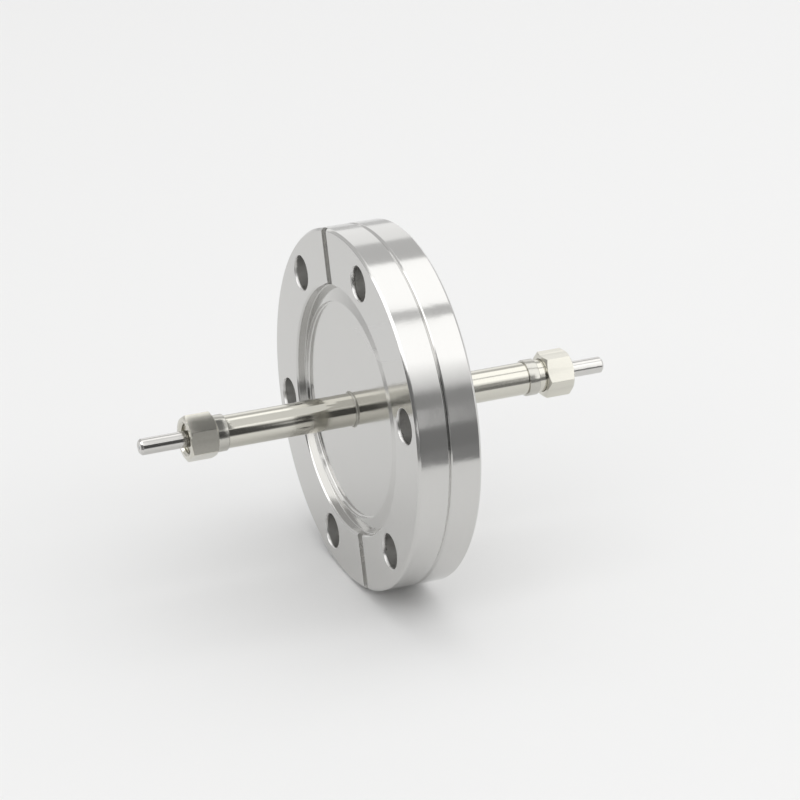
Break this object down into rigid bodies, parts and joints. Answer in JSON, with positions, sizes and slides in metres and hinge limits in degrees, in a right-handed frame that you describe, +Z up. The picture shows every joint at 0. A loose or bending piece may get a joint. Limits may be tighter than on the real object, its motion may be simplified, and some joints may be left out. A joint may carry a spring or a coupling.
{
  "type": "vacuum feedthrough",
  "caption": "Round knife-edge vacuum flange with a plated tube through its centre that carries a screw-type optical-fibre connector with a hexagonal coupling nut at each end.",
  "frame": {"origin": "centre of the bolt circle, in the plane of the flange's front face", "axes": "+X along the tube from the vacuum side, where the knife edge is, to the air side; +Z up as in the picture"},
  "size_m": [0.0957, 0.07, 0.07],
  "materials": {
    "flange_steel": "fine-turned and polished stainless steel",
    "tube_nickel": "drawn tube, bright nickel plate",
    "braze_metal": "silver-coloured braze, as flowed",
    "crimp_steel": "satin, finely grained round the ring",
    "body_nickel": "turned, nickel plate",
    "ferrule_steel": "ground",
    "nut_nickel": "machined hexagon, nickel plate",
    "spring_steel": "plain spring steel",
    "fibre_glass": "polished ends",
    "jacket_plastic": "extruded",
    "seal_epoxy": "cured in place"
  },
  "bodies": {
    "flange_and_tube": {"knife_edge_flange": "flange_steel", "feedthrough_tube": "tube_nickel", "optical_fibre": "fibre_glass", "fibre_jacket": "jacket_plastic", "epoxy_seal": "seal_epoxy", "front_braze_fillet": "braze_metal", "rear_braze_fillet": "braze_metal", "front_crimp_ring": "crimp_steel", "rear_crimp_ring": "crimp_steel", "front_connector_body": "body_nickel", "rear_connector_body": "body_nickel", "front_ferrule": "ferrule_steel", "rear_ferrule": "ferrule_steel"},
    "front_ring": {"front_retaining_ring": "spring_steel"},
    "front_nut": {"front_coupling_nut": "nut_nickel"},
    "rear_ring": {"rear_retaining_ring": "spring_steel"},
    "rear_nut": {"rear_coupling_nut": "nut_nickel"}
  },
  "joints": [
    {"name": "front_nut_slide", "type": "slide", "parent": "flange_and_tube", "child": "front_ring", "axis": [-1, 0, 0], "range_m": [0, 0.0019]},
    {"name": "front_nut_spin", "type": "hinge", "parent": "front_ring", "child": "front_nut", "pos_m": [-0.03, 0, 0], "axis": [-1, 0, 0], "continuous": true},
    {"name": "rear_nut_slide", "type": "slide", "parent": "flange_and_tube", "child": "rear_ring", "axis": [1, 0, 0], "range_m": [-0.00143, 0.00047]},
    {"name": "rear_nut_spin", "type": "hinge", "parent": "rear_ring", "child": "rear_nut", "pos_m": [0.044, 0, 0], "axis": [1, 0, 0], "continuous": true}
  ]
}
